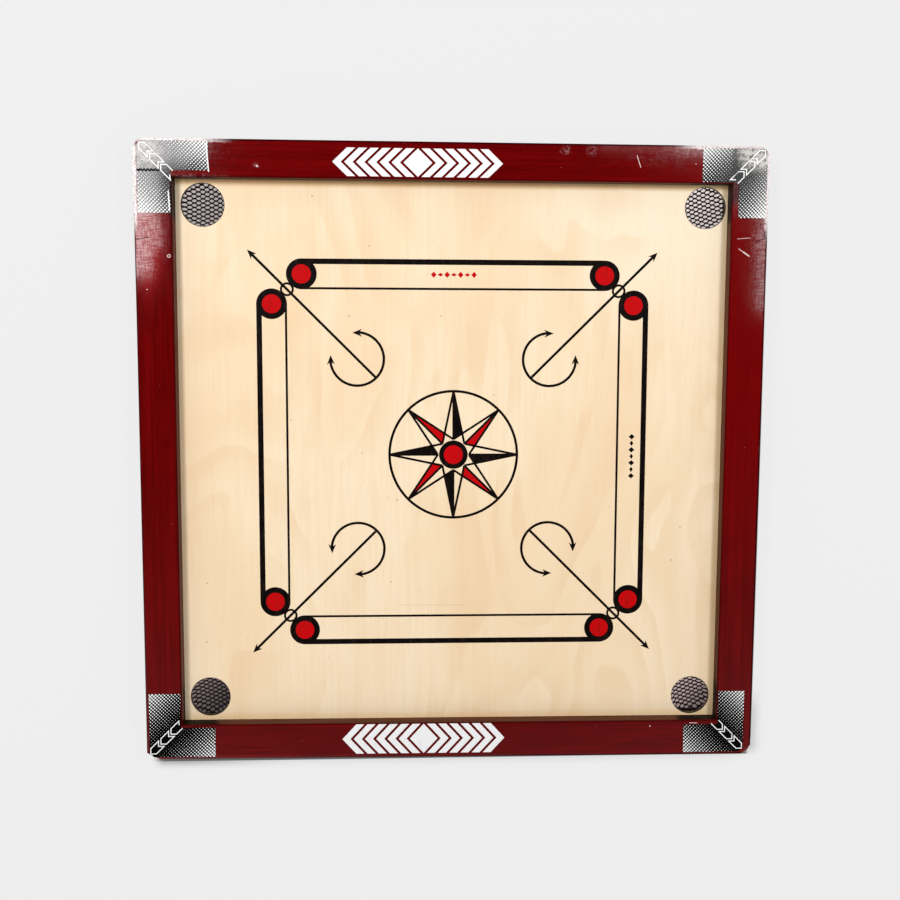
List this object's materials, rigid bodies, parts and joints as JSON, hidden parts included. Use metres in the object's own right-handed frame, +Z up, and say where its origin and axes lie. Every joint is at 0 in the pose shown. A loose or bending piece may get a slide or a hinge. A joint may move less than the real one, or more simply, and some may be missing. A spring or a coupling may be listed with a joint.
{
  "type": "carrom board",
  "caption": "Square wooden carrom board with raised dark red rails, a printed plywood playing panel, netted corner pockets and battens underneath.",
  "frame": {"origin": "centre of the board's underside, on the surface that it lies on", "axes": "+Z up out of the playing surface, +X to the right rail, +Y to the back rail"},
  "size_m": [0.66, 0.66, 0.0363],
  "materials": {
    "rail_paint": "wood under dark red gloss paint, worn and hazy at the corners",
    "birch_ply": "pale sanded birch plywood, satin lacquer",
    "batten_wood": "sawn softwood, unfinished",
    "net_cord": "black knitted nylon netting",
    "sticker_film": "black printed film with white dots and outlined arrows",
    "nail_steel": "bright drawn wire, dulled",
    "black_ink": "screen-printed black ink",
    "red_ink": "screen-printed red ink",
    "white_paint": "screen-printed white paint"
  },
  "bodies": {
    "root": {"batten_nail_x_back_left": "nail_steel", "batten_nail_x_back_right": "nail_steel", "batten_nail_x_front_left": "nail_steel", "batten_nail_x_front_right": "nail_steel", "batten_nail_y_left_back": "nail_steel", "batten_nail_y_left_front": "nail_steel", "batten_nail_y_right_back": "nail_steel", "batten_nail_y_right_front": "nail_steel", "batten_x_back": "batten_wood", "batten_x_front": "batten_wood", "batten_y_left": "batten_wood", "batten_y_right": "batten_wood", "corner_nail_back_left_a": "nail_steel", "corner_nail_back_left_b": "nail_steel", "corner_nail_back_right_a": "nail_steel", "corner_nail_back_right_b": "nail_steel", "corner_nail_front_left_a": "nail_steel", "corner_nail_front_left_b": "nail_steel", "corner_nail_front_right_a": "nail_steel", "corner_nail_front_right_b": "nail_steel", "corner_sticker_back_left": "sticker_film", "corner_sticker_back_right": "sticker_film", "corner_sticker_front_left": "sticker_film", "corner_sticker_front_right": "sticker_film", "lap_nail_back_left": "nail_steel", "lap_nail_back_right": "nail_steel", "lap_nail_front_left": "nail_steel", "lap_nail_front_right": "nail_steel", "net_back_left": "net_cord", "net_back_right": "net_cord", "net_front_left": "net_cord", "net_front_right": "net_cord", "playing_panel": "birch_ply", "rail_back": "rail_paint", "rail_front": "rail_paint", "rail_left": "rail_paint", "rail_right": "rail_paint", "tack_back_left_1": "nail_steel", "tack_back_left_2": "nail_steel", "tack_back_left_3": "nail_steel", "tack_back_left_4": "nail_steel", "tack_back_right_1": "nail_steel", "tack_back_right_2": "nail_steel", "tack_back_right_3": "nail_steel", "tack_back_right_4": "nail_steel", "tack_front_left_1": "nail_steel", "tack_front_left_2": "nail_steel", "tack_front_left_3": "nail_steel", "tack_front_left_4": "nail_steel", "tack_front_right_1": "nail_steel", "tack_front_right_2": "nail_steel", "tack_front_right_3": "nail_steel", "tack_front_right_4": "nail_steel"}
  },
  "joints": []
}
